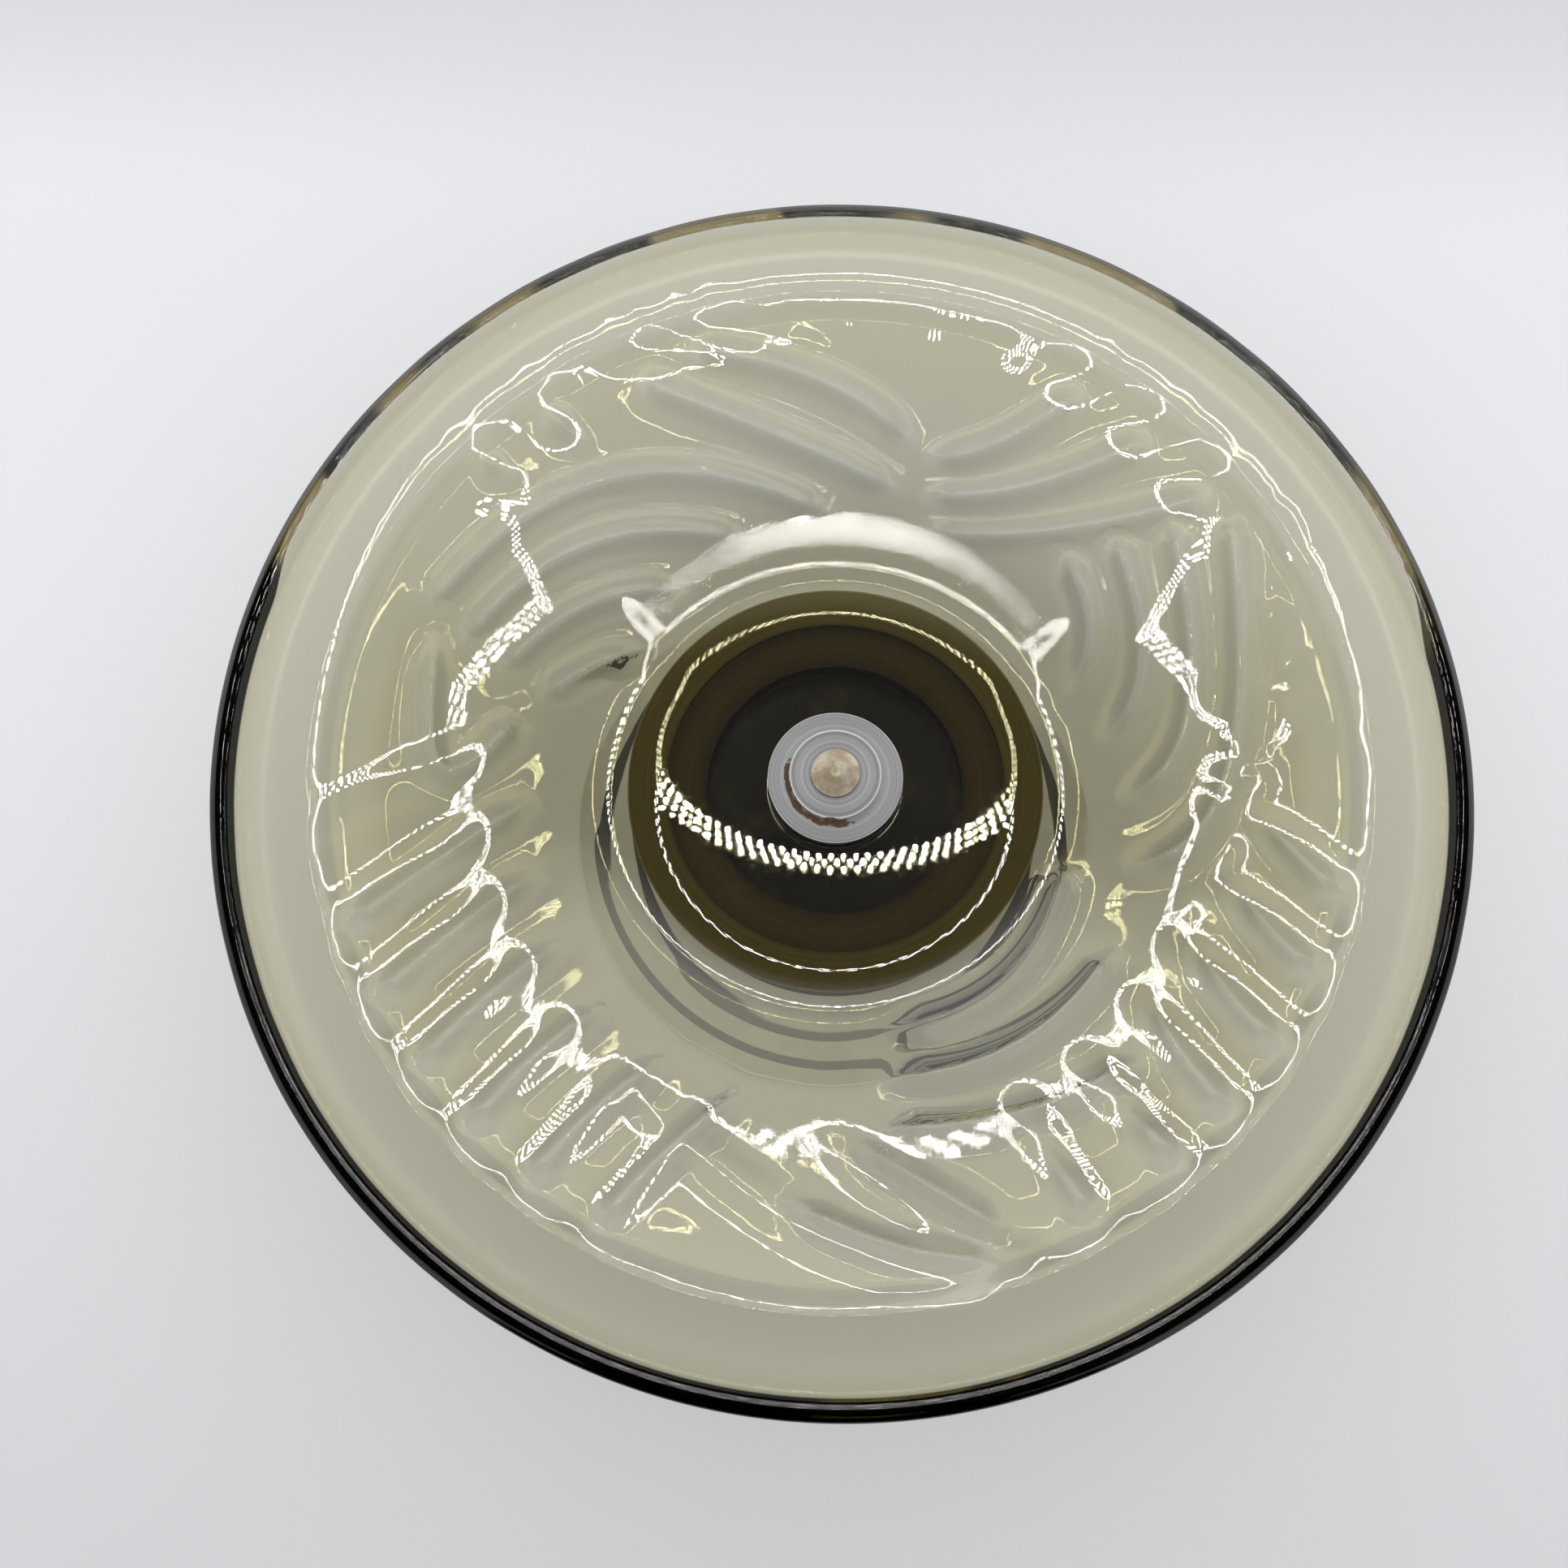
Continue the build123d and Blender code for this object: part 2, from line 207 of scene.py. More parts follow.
def smokedGlass():
    look = glassLook
    material, g = newMaterial("smokedGlass")
    spot = g.place()
    x, y, z, radius = g.round(spot)
    northward = y / radius / mm                # 1 at the back, -1 in front
    skin = g.noise(spot, look["rippleScale"], 2.0) * look["ripple"]
    frayed = radius + g.noise(spot, 40, 3.0) * look["wearFray"]
    worn = frayed.between(look["wearRise"], look["wearFall"]) * northward.ease(*look["wearBack"])
    rubbed = radius.between(look["rubbedRise"], look["rubbedFall"]) * look["rubbed"]
    wear = g.noise(spot, look["scuffScale"], 1.0) * (worn * look["wear"] + rubbed + look["scuff"])
    normal = g.bump(skin + wear, 1.0)
    # painted shade: the cut-back rim is painted black where its glass shows dark, and olive between dark
    # flutes at the back
    back = (northward + g.noise(spot, 8, 1.0) * 0.2).ease(0.28, 0.42)
    flute = g.noise(spot, 22, 0.0).ease(0.50, 0.56)
    rim = g.blend(back * flute, look["rimPaintedShade"], look["rimBackShadeOlive"])
    band = (radius - (look["rimInner"] + back * look["rimBackStep"])).ease(0.0, 0.35)
    # painted shade: the glass is painted darker on the flanks of the valleys
    valley = g.add("ShaderNodeAttribute", {"attribute_name": "valley"}, out="Fac")
    flankShadeMask = valley.ease(0.25, 0.8) * (1 - valley.ease(0.9, 1.0) * 0.3)
    clear = g.blend(flankShadeMask * look["flankPaintedShadeShare"], (1, 1, 1), look["flankPaintedShade"])
    shader = g.add("ShaderNodeBsdfPrincipled", values={
        "Base Color": g.blend(band, clear, rim), "Roughness": 0.0, "IOR": look["ior"],
        "Transmission Weight": 1.0, "Coat Weight": (1 - band) * look["coat"], "Coat IOR": look["ior"],
        "Normal": normal})
    density = max(look["absorbPerMetre"]) / look["mostTint"]
    tint = [1 - amount / density for amount in look["absorbPerMetre"]]
    smoke = g.add("ShaderNodeVolumeAbsorption", values={"Color": (*tint, 1), "Density": density})
    g.add("ShaderNodeOutputMaterial", values={"Surface": shader, "Volume": smoke})
    return material


brassLook = {                                  # the seat, with painted shade in its well and on its sunken ledge
    "reach": 64.0,                             # mm, where the last zone ends
    "toneAndShadeZones": [(0.0, (0.004, 0.004, 0.003)), (0.55, (0.006, 0.005, 0.003)),   # well, painted near black as shade
              (0.585, (0.10, 0.06, 0.010)), (0.66, (0.17, 0.12, 0.018)),     # ledge, painted darker as shade
              (0.745, (0.14, 0.10, 0.016)), (0.76, (0.30, 0.235, 0.045)),    # step, with a painted dark line of shade at its foot
              (0.86, (0.38, 0.30, 0.065)), (1.0, (0.30, 0.235, 0.055))],     # flat ring
    "streakTone": (0.03, 0.018, 0.006), "streakShare": 0.7, "streakDepth": 0.05 * mm,
    "cloudTone": (0.16, 0.12, 0.04), "cloudShare": 0.35,
}


def turnedBrass():
    look = brassLook
    material, g = newMaterial("turnedBrass")
    x, y, z, radius = g.round(g.place())
    streak = g.marks(radius * 1.6, z * 40, 4.0)
    cloud = g.noise(g.place(), 60, 4.0)
    # the zones paint shade: near black in the well, darker on the sunken ledge and at the step's foot
    toneAndShade = g.ramp(radius / look["reach"], look["toneAndShadeZones"])
    streaked = g.blend(streak * look["streakShare"], toneAndShade, look["streakTone"])
    colour = g.blend(cloud.ease(0.5, 0.8) * look["cloudShare"], streaked, look["cloudTone"])
    surface(g, baseColor=colour, metallic=0.35, roughness=streak * 0.25 + 0.35,
            normal=g.bump(streak, look["streakDepth"]))
    return material


steelLook = {                                  # the clamp washer and the collar nut
    "steel": (0.50, 0.50, 0.49), "brightSteel": (0.80, 0.80, 0.80),
    "rust": (0.12, 0.065, 0.03), "rustFrom": (0.72, 0.82),
    "seam": 13.6, "seamWidth": 1.6,            # most rust lies where nut and washer meet, mm
    "seamReach": 14, "markDepth": 0.03 * mm,
}


def clampSteel():
    look = steelLook
    material, g = newMaterial("clampSteel")
    spot = g.place()
    x, y, z, radius = g.round(spot)
    mark = g.marks(radius * 5.0, z * 90)
    stain = g.noise(spot, 260, 5.0, 0.65)
    seam = 1 - ((radius - look["seam"]).absolute() / look["seamWidth"]).least(1.0)
    side = ((-1.0 * x - y) / mm / look["seamReach"]).ease(0.1, 1.0)
    rust = (stain + seam * side * 0.5).ease(*look["rustFrom"])
    turned = g.marks(radius * 0.9, detail=1.0)
    clean = g.blend(turned.ease(0.3, 0.7), look["steel"], look["brightSteel"])
    surface(g, baseColor=g.blend(rust, clean, look["rust"]), metallic=1 - rust * 0.9,
            roughness=mark * 0.15 + 0.25 + rust * 0.3, anisotropic=0.6,
            normal=g.bump(mark * 0.6 - rust * 0.8, look["markDepth"]))
    return material


studLook = {
    "bright": (0.74, 0.66, 0.52), "tarnished": (0.50, 0.41, 0.28), "speck": (0.10, 0.07, 0.04),
    "speckDepth": 0.06 * mm,
}


def studMetal():
    look = studLook
    material, g = newMaterial("studMetal")
    spot = g.place()
    speck = g.noise(spot, 900, 4.0, 0.7)
    cloud = g.noise(spot, 220, 3.0)
    tarnish = g.blend(cloud.ease(0.35, 0.65), look["bright"], look["tarnished"])
    colour = g.blend(speck.ease(0.6, 0.72), tarnish, look["speck"])
    surface(g, baseColor=colour, metallic=0.85, roughness=speck * 0.3 + 0.25,
            normal=g.bump(speck, look["speckDepth"]))
    return material


plateLook = {                                  # the column and the spun base
    "bright": (0.84, 0.84, 0.83), "hazed": (0.70, 0.70, 0.69),
    "stepShade": (0.05, 0.05, 0.05), "stepShadeShare": 0.92,
    "bandWidth": 8.5, "stepShadeFrom": (5.6, 6.2), "bandsFrom": (52, 54),   # turned bands with painted shade in the corner of each step, mm
    "markDepth": 0.01 * mm,
}


def platedMetal():
    look = plateLook
    material, g = newMaterial("platedMetal")
    spot = g.place()
    x, y, z, radius = g.round(spot)
    spin = g.marks(radius * 2.2, z * 900)
    haze = g.noise(spot, 45, 4.0)
    light = g.blend(haze.ease(0.35, 0.7), look["bright"], look["hazed"])
    # painted shade: a dark stripe in each turned band, for the shade in the corner of its step
    stepShade = (radius % look["bandWidth"]).ease(*look["stepShadeFrom"]) * radius.ease(*look["bandsFrom"])
    colour = g.blend(stepShade * look["stepShadeShare"], light, look["stepShade"])
    surface(g, baseColor=colour, metallic=0.35, roughness=spin * 0.12 + haze * 0.12 + 0.3,
            normal=g.bump(spin, look["markDepth"]))
    return material


rubberLook = {"black": (0.012, 0.012, 0.012), "grey": (0.035, 0.033, 0.03), "grainDepth": 0.05 * mm}


def darkRubber():
    look = rubberLook
    material, g = newMaterial("darkRubber")
    grain = g.noise(g.place(), 700, 3.0)
    surface(g, baseColor=g.blend(grain, look["black"], look["grey"]), roughness=grain * 0.2 + 0.6,
            normal=g.bump(grain, look["grainDepth"]))
    return material


plainLook = {"steel": (0.45, 0.45, 0.45), "zinc": (0.60, 0.59, 0.57), "grainDepth": 0.02 * mm}


def plainSteel():
    look = plainLook
    material, g = newMaterial("plainSteel")
    grain = g.noise(g.place(), 500, 4.0)
    surface(g, baseColor=g.blend(grain, look["steel"], look["zinc"]), metallic=1.0,
            roughness=grain * 0.2 + 0.3, normal=g.bump(grain, look["grainDepth"]))
    return material


feltLook = {
    "fibre": (0.012, 0.018, 0.013), "fibreLight": (0.045, 0.055, 0.042),
    "worn": (0.05, 0.05, 0.045), "wornShare": 0.4, "fibreDepth": 0.25 * mm,
}


def greenFelt():
    look = feltLook
    material, g = newMaterial("felt")
    spot = g.place()
    fibre = g.noise(spot, 1400, 5.0, 0.7)
    patch = g.noise(spot, 40, 3.0)
    colour = g.blend(fibre, look["fibre"], look["fibreLight"])
    colour = g.blend(patch * look["wornShare"], colour, look["worn"])
    surface(g, baseColor=colour, roughness=0.95, normal=g.bump(fibre, look["fibreDepth"]), sheen=0.3)
    return material


finishes = {
    "smoked_glass": smokedGlass(), "browned_brass": turnedBrass(), "clamp_steel": clampSteel(),
    "stud_metal": studMetal(), "plated_metal": platedMetal(), "rubber_dark": darkRubber(),
    "plain_steel": plainSteel(), "felt": greenFelt(),
}
slotOf = {part["node"]: part["material_slot"] for part in frame["record"]["subparts"]}
for name, node in frame["nodes"].items():
    node.data.materials.clear()
    node.data.materials.append(finishes[slotOf[name]])
print("finishes on", len(frame["nodes"]), "pieces")


cameraSet = {"place": (0.0, -0.1153, 0.4810), "aim": (-0.0142, -0.0028, 0.0654),
             "roll": -3.97, "lens": 35.4}


def makeCamera():
    data = bpy.data.cameras.new("camera")
    data.lens = cameraSet["lens"]
    data.clip_start = 0.01
    camera = bpy.data.objects.new("camera", data)
    bpy.context.scene.collection.objects.link(camera)
    place = Vector(cameraSet["place"])
    ahead = (Vector(cameraSet["aim"]) - place).normalized()
    level = ahead.cross(Vector((0, 0, 1))).normalized()
    above = level.cross(ahead)
    turn = math.radians(cameraSet["roll"])
    right = level * math.cos(turn) + above * math.sin(turn)
    up = above * math.cos(turn) - level * math.sin(turn)
    camera.matrix_world = Matrix.Translation(place) @ Matrix((right, up, -ahead)).transposed().to_4x4()
    bpy.context.scene.camera = camera


makeCamera()
print("camera set")


bowl = {                                       # mm and degrees: the solid bowl, bent a little more freely
    "bore": 9.0, "floorRadius": 50.0, "floorThick": 6.0, "innerBend": 55.0,
    "wallSlope": 18.0, "wallMiddle": 18.8, "wallEnd": 21.9,   # the inside steepens slowly, first
    "middleRadius": 100.0, "flangeStart": 136.0,   # up to the middle and then up to the flange
    "flangeBend": 36.0, "flangeThick": 5.5,
    "outerBend": 30.0, "crestSlope": 19.5,     # underside: the crests of the ribs,
    "footRadius": 65.8,                        # drawn on straight, meet the flat foot here
    "rimRadius": 165.0, "rimSlope": 8.5,
    "rimThick": 7.2, "rimBevel": 46.0,         # thick rim, cut back under its edge
    "beadHollow": 1.2, "beadSlope": 32.0,      # the raised bead along the rim
    "rimRound": 3.0, "rimFall": 45.0, "rimNose": 1.2, "rimRise": 9.0,
    "leafReach": 138.0, "leafRunOut": 6.0,     # where the relief ends, and over what width
    "veinDepth": 3.0, "ribWidth": 8.5,         # valleys between the ribs
    "veinStart": 13.0, "veinEnd": 8.0,         # how soon a valley reaches its depth at each end
    "insideWave": 0.15, "waveFrom": (104, 128),   # how far the inside echoes a valley, and where
    "fluteDepth": 0.55, "fluteWidth": 4.6,     # soft waves in line with the rib ends
    "fluteStart": 95.0, "fluteStartBack": 23.0, "fluteRise": 15.0,   # they reach less far in at the back
    "fluteFade": (138, 165), "fluteFadeShare": 0.7,
    "ribEnd": 126.0,                           # a rib that ends inside this has no wave
    "extraFlutes": [(70, 0.6, 0), (81, 0.4, 0), (91, 0.4, 0), (101, 0.6, 0), (25, 0.6, 0),
                    (14, 0.5, 0), (3, 0.4, 0), (191, 0.9, 0.25)],   # angle, strength, drift
    "sideRise": 2.5,                           # the wall is fuller, and steeper, towards the two sides
    "sideIn": (56, 120), "sideOut": (120, 160), "sideBack": (0.15, 0.60),
    "backHollow": 2.42,                        # and hollower low down at the back
    "hollowIn": (55, 90), "hollowOut": (91, 128), "hollowBack": (0.44, 0.64),
    "hollowEnds": 0.35, "hollowShift": 14,     # shallower and nearer the floor towards its ends
    "flangeWhole": (122, 138),                 # from here out the upper and lower face bend as one
    "lift": 0.06,                              # keeps the glass off the face it rests on
    "turns": 480,                              # faces round the bowl
}
# A vein is a valley between two ribs: start, middle and end as (degrees, radius in mm).
# A fan is a first and a last vein with the others spaced evenly between them.
fans = [
    # leaf at the back: two sides that meet in a V, and two short veins beside it
    (((79, 101), (69, 107), (60, 133)), ((76, 80), (52, 97), (39, 133)), 3),
    (((79, 101), (94, 117), (112, 133)), ((79, 88), (99, 101), (120, 130)), 2),
    (((129, 119), (131, 127), (131, 137)), ((140, 124), (141, 130), (142, 138)), 2),
    # long ribs that sweep from the seat out to the leaf on the left
    (((92, 80), (129, 109), (162, 124)), ((146, 68), (157, 78), (169, 88)), 4),
    (((164, 119), (183, 110), (172, 92)), ((164, 119), (183, 110), (172, 92)), 1),
    (((187, 85), (197, 112), (203, 138)), ((257, 91), (249, 118), (247, 137)), 6),
    # leaf at the front
    (((266, 115), (278, 126), (290, 136)), ((275, 100), (284, 113), (292, 130)), 2),
    (((300, 113), (301, 125), (301, 137)), ((311, 115), (312, 126), (312, 138)), 2),
    (((279, 98), (300, 105), (318, 112)), ((284, 72), (312, 74), (342, 69)), 3),
    # leaf on the right
    (((357, 116), (350, 128), (347, 139)), ((327, 104), (322, 118), (320, 138)), 4),
    (((345, 84), (362, 108), (396, 133)), ((384, 72), (394, 86), (408, 94)), 4),
]


def veins():
    for first, last, count in fans:
        for step in range(count):
            share = step / max(count - 1, 1)
            yield [(a + share * (b - a), p + share * (q - p)) for (a, p), (b, q) in zip(first, last)]


def flat(angle, radius):                       # a point in plan
    turn = math.radians(angle)
    return Vector((radius * math.cos(turn), radius * math.sin(turn), 0)) * mm


def bentLine(start, middle, end, steps=40):    # a smooth line through three points
    handle = middle * 2 - (start + end) / 2
    for step in range(steps + 1):
        t = step / steps
        yield start * (1 - t) ** 2 + handle * 2 * t * (1 - t) + end * t * t


def lineObject(name, lines):                   # lines of (point, strength) as a mesh of edges
    points, edges, strengths = [], [], []
    for line in lines:
        first = len(points)
        for point, strength in line:
            points.append(point)
            strengths.append(strength)
        edges += [(i, i + 1) for i in range(first, len(points) - 1)]
    mesh = bpy.data.meshes.new(name)
    mesh.from_pydata(points, edges, [])
    mesh.attributes.new("strength", "FLOAT", "POINT").data.foreach_set("value", strengths)
    made = bpy.data.objects.new(name, mesh)
    bpy.context.scene.collection.objects.link(made)
    return made


def veinLines():
    for vein in veins():
        points = list(bentLine(*[flat(*point) for point in vein]))
        run = [0.0]
        for before, after in zip(points, points[1:]):
            run.append(run[-1] + (after - before).length / mm)
        yield [(point, min(1.0, 0.08 + here / bowl["veinStart"], 0.1 + (run[-1] - here) / bowl["veinEnd"]))
               for point, here in zip(points, run)]


def fluteLines():                              # each rib end leaves a soft wave out to the rim
    ends = []
    for vein in veins():
        (bend, middle), (angle, end) = vein[1:]
        if end > bowl["ribEnd"]:
            ends.append((angle, 1.0, (angle - bend) / (end - middle)))
    reach = range(90, int(bowl["rimRadius"]) + 1, 2)
    for angle, strength, drift in ends + bowl["extraFlutes"]:   # drift: degrees per mm inside the leaf
        yield [(flat(angle + drift * min(0, r - bowl["leafReach"]), r), strength) for r in reach]


def smooth(share):
    share = min(1.0, max(0.0, share))
    return share * share * (3 - 2 * share)


def bowlProfile():                             # (radius, side, height): up the inside, down the underside
    b = bowl
    slope, middle, steep, rim, fall, bevel, bead, crestSlope = (math.radians(b[key]) for key in (
        "wallSlope", "wallMiddle", "wallEnd", "rimSlope", "rimFall", "rimBevel", "beadSlope", "crestSlope"))
    floorTop = b["floorThick"]
    bendEnd = b["floorRadius"] + b["innerBend"] * math.sin(slope)
    bendRise = floorTop + b["innerBend"] * (1 - math.cos(slope))
    flangeStart, middleR = b["flangeStart"], b["middleRadius"]
    lowBend = (middleR - bendEnd) / (math.sin(middle) - math.sin(slope))
    highBend = (flangeStart - middleR) / (math.sin(steep) - math.sin(middle))
    middleRise = bendRise + lowBend * (math.cos(slope) - math.cos(middle))
    flangeRise = middleRise + highBend * (math.cos(middle) - math.cos(steep))
    beadOut = (b["beadHollow"] * (math.sin(bead) - math.sin(rim))
               + b["rimRound"] * (math.sin(fall) + math.sin(bead))
               + b["rimNose"] * (1 - math.sin(fall)))
    flangeEnd = b["rimRadius"] - beadOut
    flangeBent = flangeStart + b["flangeBend"] * (math.sin(steep) - math.sin(rim))
    points = [(b["bore"], 0, z) for z in (0.0, 3.0)]
    points += [(r, 0, floorTop) for r in (b["bore"], 17, 25, 32, 38)]

    def walk(radius, start, end, steps, side=0):   # an arc that bends on from the last point
        r, _, z = points[-1]
        sign = 1 if end > start else -1
        for step in range(1, steps + 1):
            here = start + (end - start) * step / steps
            points.append((r + sign * radius * (math.sin(here) - math.sin(start)), side,
                           z + sign * radius * (math.cos(start) - math.cos(here))))

    points.append((b["floorRadius"], 0, floorTop))
    walk(b["innerBend"], 0, slope, 16)
    walk(lowBend, slope, middle, 14)
    walk(highBend, middle, steep, 18)
    walk(b["flangeBend"], steep, rim, 14)
    r, _, z = points[-1]
    for step in range(1, 11):                  # flange, straight on to the bead
        out = (flangeEnd - r) * step / 10
        points.append((r + out, 0, z + out * math.tan(rim)))
    rimTop = points[-1][2]
    walk(b["beadHollow"], rim, bead, 4)
    walk(b["rimRound"], bead, -fall, 9)
    walk(b["rimNose"], -fall, -math.pi + bevel, 6, side=1)
    r, _, z = points[-1]
    low = rimTop - b["rimThick"]
    run = (z - low) / math.tan(bevel)
    points += [(r - run * share, 1, z + (low - z) * share) for share in (0.2, 0.4, 0.6, 0.8, 0.95)]
    underEnd = r - run - 0.4

    foot = b["footRadius"]
    bendStart = foot - b["outerBend"] * math.tan(crestSlope / 2)
    bendStop = foot + b["outerBend"] * math.tan(crestSlope / 2) * math.cos(crestSlope)

    def topOf(r):                              # the inside face above this radius, and its slope
        if r < middleR:
            turn = math.asin(math.sin(slope) + (r - bendEnd) / lowBend)
            return bendRise + lowBend * (math.cos(slope) - math.cos(turn)), turn
        if r < flangeStart:
            turn = math.asin(math.sin(middle) + (r - middleR) / highBend)
            return middleRise + highBend * (math.cos(middle) - math.cos(turn)), turn
        turn = math.asin(max(math.sin(rim), math.sin(steep) - (r - flangeStart) / b["flangeBend"]))
        rise = flangeRise + b["flangeBend"] * (math.cos(turn) - math.cos(steep))
        return rise + max(0, r - flangeBent) * math.tan(rim), turn

    def under(r):                              # underside: flange outside, crests of the ribs inside
        top, turn = topOf(r)
        rising = smooth((r - underEnd + b["rimRise"]) / b["rimRise"])
        thick = b["flangeThick"] + (b["rimThick"] - b["flangeThick"]) * rising
        flange = top - thick / math.cos(turn)
        if r <= bendStart:
            crest = 0.0
        elif r < bendStop:
            crest = b["outerBend"] - math.sqrt(b["outerBend"] ** 2 - (r - bendStart) ** 2)
        else:
            crest = (r - foot) * math.tan(crestSlope)
        return crest + (flange - crest) * smooth((r - b["leafReach"] + 3) / b["leafRunOut"])

    steps, last = 92, 60                       # down to this radius, inside which the foot is flat
    for step in range(steps + 1):
        r = underEnd + (last - underEnd) * step / steps
        points.append((r, 1, under(r)))
    points += [(r, 1, 0.0) for r in (54, 44, 32, 20, b["bore"])]
    return points


def bowlTree(material, veinObject, fluteObject, rings):
    tree = bpy.data.node_groups.new("pressedBowl", "GeometryNodeTree")
    g = Graph(tree)
    sizes = {"Turns": bowl["turns"], "Rings": rings}
    depths = {"Vein depth": bowl["veinDepth"], "Rib width": bowl["ribWidth"],
              "Inside wave": bowl["insideWave"],
              "Flute depth": bowl["fluteDepth"], "Flute width": bowl["fluteWidth"],
              "Side rise": bowl["sideRise"], "Back hollow": bowl["backHollow"]}
    tree.interface.new_socket(name="Profile", in_out="INPUT", socket_type="NodeSocketGeometry")
    for name in sizes:
        tree.interface.new_socket(name=name, in_out="INPUT", socket_type="NodeSocketInt")
    for name in depths:
        tree.interface.new_socket(name=name, in_out="INPUT", socket_type="NodeSocketFloat")
    for name in ("Veins", "Flutes"):
        tree.interface.new_socket(name=name, in_out="INPUT", socket_type="NodeSocketObject")
    tree.interface.new_socket(name="Glass", in_out="INPUT", socket_type="NodeSocketMaterial")
    tree.interface.new_socket(name="Bowl", in_out="OUTPUT", socket_type="NodeSocketGeometry")
    entry = g.add("NodeGroupInput").socket.node
    given = {socket.name: Wire(g, socket) for socket in entry.outputs if socket.name}

    # the profile turned round the axis
    grid = g.add("GeometryNodeMeshGrid", values={
        "Size X": 1.0, "Size Y": 1.0, "Vertices X": given["Turns"] + 1, "Vertices Y": given["Rings"]})
    index = g.add("GeometryNodeInputIndex")
    ring = index % given["Rings"]
    angle = (index / given["Rings"]).floor() / given["Turns"] * math.tau
    here = g.add("GeometryNodeInputPosition")
    spot = g.add("GeometryNodeSampleIndex", {"data_type": "FLOAT_VECTOR"},
                 {"Geometry": given["Profile"], "Value": here, "Index": ring})
    radius, side, height = g.axes(spot)
    turned = g.add("ShaderNodeCombineXYZ", values={
        0: radius * angle.cos(), 1: radius * angle.sin(), 2: height})
    shape = g.add("GeometryNodeSetPosition", values={"Geometry": grid, "Position": turned})
    shape = g.add("GeometryNodeStoreNamedAttribute", {"data_type": "FLOAT"},
                  {"Geometry": shape, "Name": "underside", "Value": side})
    shape = g.add("GeometryNodeMergeByDistance", values={"Geometry": shape, "Distance": 1e-5})
    shape = g.add("GeometryNodeFlipFaces", values={"Mesh": shape})

    x, y, z, away = g.round(g.add("GeometryNodeInputPosition"))
    plan = g.add("ShaderNodeCombineXYZ", values={0: x, 1: y})
    under = g.add("GeometryNodeInputNamedAttribute", {"data_type": "FLOAT"}, {"Name": "underside"})

    def near(lines):                           # distance in plan to the nearest line, and its strength
        source = g.add("GeometryNodeObjectInfo", values={"Object": lines}, out="Geometry")
        distance = g.add("GeometryNodeProximity", {"target_element": "EDGES"},
                         {0: source, "Sample Position": plan}, out="Distance")
        nearest = g.add("GeometryNodeSampleNearest", {"domain": "POINT"},
                        {0: source, "Sample Position": plan})
        strength = g.add("GeometryNodeInputNamedAttribute", {"data_type": "FLOAT"}, {"Name": "strength"})
        sampled = g.add("GeometryNodeSampleIndex", {"data_type": "FLOAT"},
                        {"Geometry": source, "Value": strength, "Index": nearest})
        return distance / mm, sampled

    # full ribs with narrow valleys between them, and a faint echo of them on the inside
    distance, strength = near(given["Veins"])
    cut = 1 - ((distance * distance + 0.5).root() - 0.7).most(0) / given["Rib width"]
    cut = cut.most(0).least(1)
    roll = 0.6 * cut * cut + 0.4 * (1 - (1 - cut * cut).root())
    valley = roll * strength * given["Vein depth"] * under
    echo = cut * cut * (3 - 2 * cut) * strength * (1 - under) * given["Inside wave"]
    echo = echo * away.ease(*bowl["waveFrom"])

    # soft waves in line with the rib ends
    northward = y / mm / away                  # 1 at the back, -1 in front
    gap, fluteStrength = near(given["Flutes"])
    gap = gap / away * math.degrees(1)
    wave = (1 + ((gap / given["Flute width"]).least(1) * math.pi).cos()) / 2
    onset = bowl["fluteStart"] + bowl["fluteStartBack"] * northward.ease(0.0, 0.9)
    rise = away.ease(onset, onset + bowl["fluteRise"])
    fade = 1 - away.ease(*bowl["fluteFade"]) * bowl["fluteFadeShare"]
    wave = wave * fluteStrength * given["Flute depth"] * rise * fade

    # fuller sides and a hollow back
    sideways = (x * x).root() / mm / away * (1 - northward.ease(*bowl["sideBack"]))
    raised = away.between(bowl["sideIn"], bowl["sideOut"]) * sideways * given["Side rise"]
    ends = bowl["hollowEnds"]
    backwards = northward.ease(*bowl["hollowBack"]) * (northward * (1 - ends) + ends)
    inner = away + bowl["hollowShift"] * (1 - northward)
    sunk = inner.between(bowl["hollowIn"], bowl["hollowOut"]) * backwards * given["Back hollow"]
    whole = 1 - under * (1 - away.ease(*bowl["flangeWhole"]))
    wave = wave + (sunk - raised) * whole

    nx, ny, nz = g.axes(g.add("GeometryNodeInputNormal"))
    push = (valley + echo) * -mm
    moved = g.add("ShaderNodeCombineXYZ", values={
        0: nx * push, 1: ny * push, 2: nz * push - wave * mm})
    shape = g.add("GeometryNodeStoreNamedAttribute", {"data_type": "FLOAT"},
                  {"Geometry": shape, "Name": "valley", "Value": cut * strength * under})
    shape = g.add("GeometryNodeSetPosition", values={"Geometry": shape, "Offset": moved})
    shape = g.add("GeometryNodeSetShadeSmooth", values={"Geometry": shape})
    shape = g.add("GeometryNodeRealizeInstances", values={0: shape})
    shape = g.add("GeometryNodeSetMaterial", values={0: shape, "Material": given["Glass"]})
    g.add("NodeGroupOutput", values={0: shape})
    values = {**sizes, **depths, "Veins": veinObject, "Flutes": fluteObject, "Glass": material}
    return tree, values


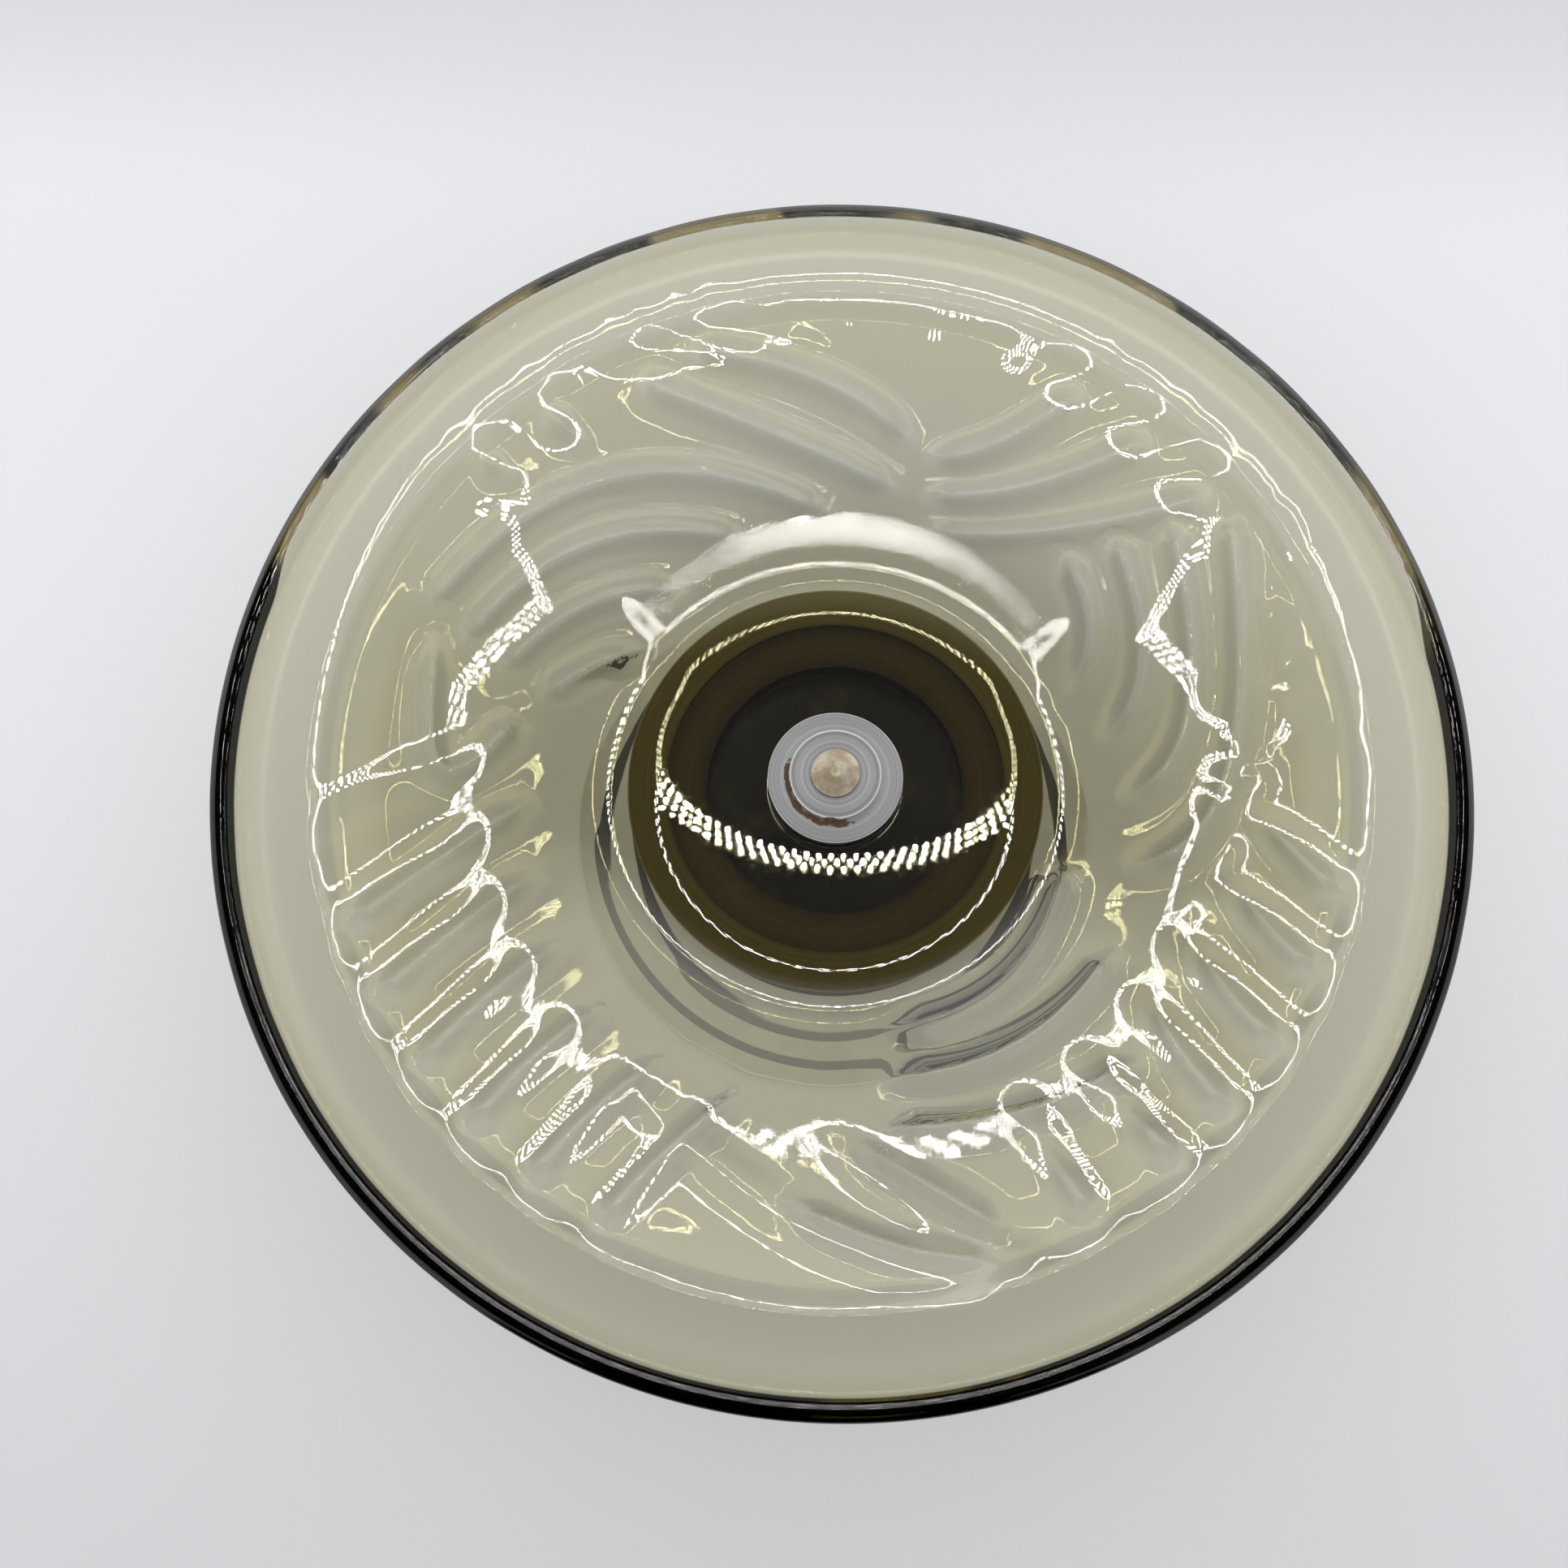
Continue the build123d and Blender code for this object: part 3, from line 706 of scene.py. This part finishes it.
def makeGlass():
    profile = bowlProfile()
    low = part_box("glass_bowl")[0].z + bowl["lift"] * mm
    mesh = bpy.data.meshes.new("glassBowl")
    points = [(r * mm, side, z * mm + low) for r, side, z in profile]
    mesh.from_pydata(points, [(i, i + 1) for i in range(len(points) - 1)], [])
    glass = bpy.data.objects.new("glassBowl", mesh)
    bpy.context.scene.collection.objects.link(glass)
    lines = [lineObject("veinLines", veinLines()), lineObject("fluteLines", fluteLines())]
    tree, values = bowlTree(finishes["smoked_glass"], *lines, len(profile))
    modifier = glass.modifiers.new("pressed", "NODES")
    modifier.node_group = tree
    sockets = {item.name: item.identifier for item in tree.interface.items_tree if item.in_out == "INPUT"}
    for name, value in values.items():
        modifier[sockets[name]] = value
    graph = bpy.context.evaluated_depsgraph_get()
    made = bpy.data.meshes.new_from_object(glass.evaluated_get(graph))
    glass.modifiers.clear()
    glass.data = made
    for line in lines:
        bpy.data.objects.remove(line)
    print("glass of", len(made.polygons), "faces")
    return glass


glass = makeGlass()
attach(glass, "root")
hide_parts("glass_bowl")


stage = {
    "floorSize": 3.0, "floor": (0.85, 0.855, 0.87),
    "floorFrontShade": (0.60, 0.605, 0.61), "frontShadeFade": (-0.10, 0.42),   # painted shade: the floor is darker in front
    "floorBackShade": (0.70, 0.705, 0.715), "backShadeFade": (0.22, 0.34),     # and painted darker far at the back
    "ringPlace": (0.0, 0.155, 0.48), "ringStretch": 1.36, "rowRadii": (0.0835, 0.087, 0.0905),
    "lightsPerRow": 104, "dotRadius": 0.0016, "dotPower": 58.0, "dotTone": (1, 0.99, 0.95),
    "cloth": (0.84, 0.85, 0.87), "clothLit": (1.9, 1.9, 1.88), "dark": (0.006, 0.006, 0.006),
    "satinCloth": (0.9, 0.91, 0.92), "satinRoof": (0.34, 0.34, 0.34),   # what dull metal shows
    "daylight": (1.0, 1.0, 1.02),
}


def makeFloor():
    material, g = newMaterial("paperFloor")
    x, y, z = g.axes(g.place())
    # painted shade: the floor darkens towards the front and far at the back
    colour = g.blend((y * -1.0).ease(*stage["frontShadeFade"]), stage["floor"], stage["floorFrontShade"])
    colour = g.blend(y.ease(*stage["backShadeFade"]), colour, stage["floorBackShade"])
    surface(g, baseColor=colour, roughness=0.9, specular=0.0)
    half = stage["floorSize"] / 2
    corners = [(-half, -half, 0), (half, -half, 0), (half, half, 0), (-half, half, 0)]
    mesh = bpy.data.meshes.new("floor")
    mesh.from_pydata(corners, [], [(0, 1, 2, 3)])
    mesh.materials.append(material)
    floor = bpy.data.objects.new("floor", mesh)
    bpy.context.scene.collection.objects.link(floor)


def sharpRays(graph):                          # rays by which glass and polish show an image, and dull ones
    path = graph.add("ShaderNodeLightPath").socket.node.outputs
    sharp = Wire(graph, path["Is Singular Ray"]) * (Wire(graph, path["Diffuse Depth"]) < 0.5)
    return sharp, Wire(graph, path["Is Glossy Ray"])


def makeLightRing():                           # rows of small lights that show only as highlights
    material, g = newMaterial("ringLights")
    sharp, _ = sharpRays(g)
    glow = g.add("ShaderNodeEmission", values={
        "Color": (*stage["dotTone"], 1), "Strength": sharp * stage["dotPower"]})
    clear = g.add("ShaderNodeBsdfTransparent")
    both = g.add("ShaderNodeMixShader", values={0: sharp, 1: clear, 2: glow})
    g.add("ShaderNodeOutputMaterial", values={"Surface": both})
    material.cycles.emission_sampling = "NONE"
    points, faces = [], []
    centre = Vector(stage["ringPlace"])
    for row, radius in enumerate(stage["rowRadii"]):
        for step in range(stage["lightsPerRow"]):
            turn = math.tau * (step + row / 2) / stage["lightsPerRow"]
            spot = centre + Vector((math.cos(turn) * stage["ringStretch"], math.sin(turn), 0)) * radius
            faces.append(list(range(len(points), len(points) + 6)))
            for corner in range(6):
                a = math.tau * corner / 6
                points.append(spot + Vector((math.cos(a), math.sin(a), 0)) * stage["dotRadius"])
    mesh = bpy.data.meshes.new("lightRing")
    mesh.from_pydata(points, [], faces)
    mesh.materials.append(material)
    ring = bpy.data.objects.new("lightRing", mesh)
    bpy.context.scene.collection.objects.link(ring)
    ring.visible_camera = False
    ring.visible_shadow = False


def makeTent():                                # white cloth, dark above the lamps and at the front
    world = bpy.data.worlds.new("tent")
    world.use_nodes = True
    world.node_tree.nodes.clear()
    g = Graph(world.node_tree)
    sharp, dull = sharpRays(g)
    x, y, z = g.axes(g.add("ShaderNodeTexCoord", out="Generated"))
    roof = z.ease(0.62, 0.80) * (1 - y.ease(0.34, 0.60))
    front = (y * -1.0 - x.absolute() * 0.6).ease(0.35, 0.55)
    lit = g.blend(y.ease(0.0, 0.6), stage["cloth"], stage["clothLit"])   # lamps behind the cloth
    image = g.blend((roof + front).least(1.0), lit, stage["dark"])
    satin = g.blend(roof, stage["satinCloth"], stage["satinRoof"])
    shown = g.blend(sharp, g.blend(dull, stage["daylight"], satin), image)
    back = g.add("ShaderNodeBackground", values={"Color": shown, "Strength": 1.0})
    g.add("ShaderNodeOutputWorld", values={"Surface": back})
    bpy.context.scene.world = world


makeFloor()
makeLightRing()
makeTent()
bpy.context.scene.view_settings.view_transform = "Standard"
bpy.context.scene.cycles.sample_clamp_indirect = 0   # keeps the small lights' reflections bright
print("studio set")
